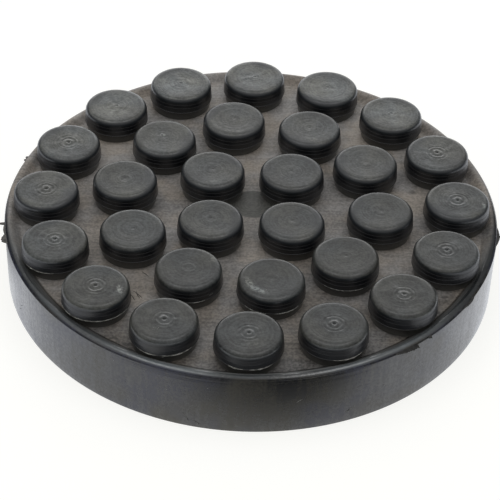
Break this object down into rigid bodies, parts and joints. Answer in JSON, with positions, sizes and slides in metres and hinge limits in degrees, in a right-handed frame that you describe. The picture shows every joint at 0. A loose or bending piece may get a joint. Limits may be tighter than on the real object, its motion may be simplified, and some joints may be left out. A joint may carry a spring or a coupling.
{
  "type": "rubber pad",
  "caption": "Round moulded rubber pad with a flat underside, a raised lip and rings of round-shouldered studs that grip and cushion a load.",
  "frame": {"origin": "centre of the flat underside, on the disc's axis", "axes": "+Z along the disc's axis, out of the studded face; each ring of studs has a stud on the diagonal halfway between -X and +Y"},
  "size_m": [0.12, 0.12, 0.0215],
  "materials": {
    "rubber": "matt black moulded rubber"
  },
  "bodies": {
    "root": {"rubber_pad": "rubber"}
  },
  "joints": []
}
